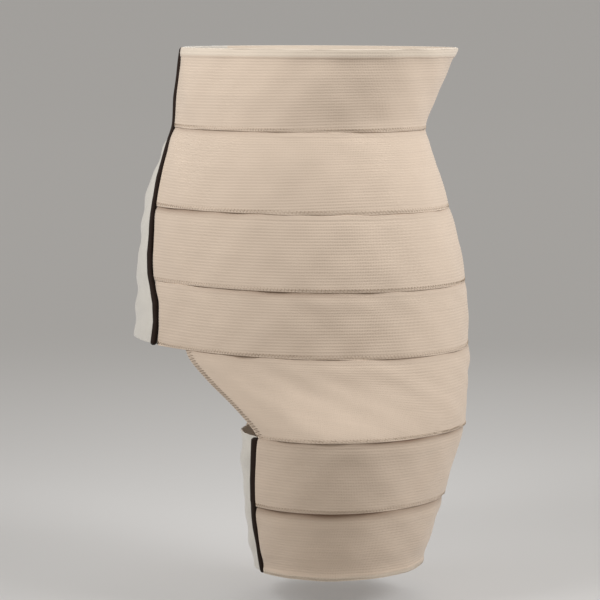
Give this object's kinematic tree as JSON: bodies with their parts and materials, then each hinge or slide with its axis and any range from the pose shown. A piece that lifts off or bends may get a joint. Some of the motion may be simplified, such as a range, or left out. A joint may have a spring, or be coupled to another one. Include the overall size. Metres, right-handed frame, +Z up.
{
  "type": "hip compression wrap",
  "caption": "Compression wrap of lapped elastic strips round waist, hips and left thigh, with hook and loop overlaps at the front, in its worn form.",
  "frame": {"origin": "middle of the waist, where the wrap is narrowest", "axes": "+Z up along the wearer, -Y the way the wearer faces, +X the wearer's left"},
  "size_m": [0.3955, 0.3045, 0.5197],
  "materials": {
    "woven_elastic": "beige woven elastic with fine level ribs",
    "loop_pile": "off-white brushed loop",
    "edge_binding": "dark brown bound edge",
    "hook_tape": "plain hook tape"
  },
  "bodies": {
    "root": {"torso_band_1": "woven_elastic", "torso_band_2": "woven_elastic", "torso_band_3": "woven_elastic", "torso_band_4": "woven_elastic", "hip_band": "woven_elastic", "thigh_band_1": "woven_elastic", "thigh_band_2": "woven_elastic", "front_loop_panel": "loop_pile", "thigh_loop_panel": "loop_pile", "front_edge_binding": "edge_binding", "thigh_edge_binding": "edge_binding", "front_hook_pad_1": "hook_tape", "front_hook_pad_2": "hook_tape", "front_hook_pad_3": "hook_tape", "front_hook_pad_4": "hook_tape", "thigh_hook_pad_1": "hook_tape", "thigh_hook_pad_2": "hook_tape"}
  },
  "joints": []
}
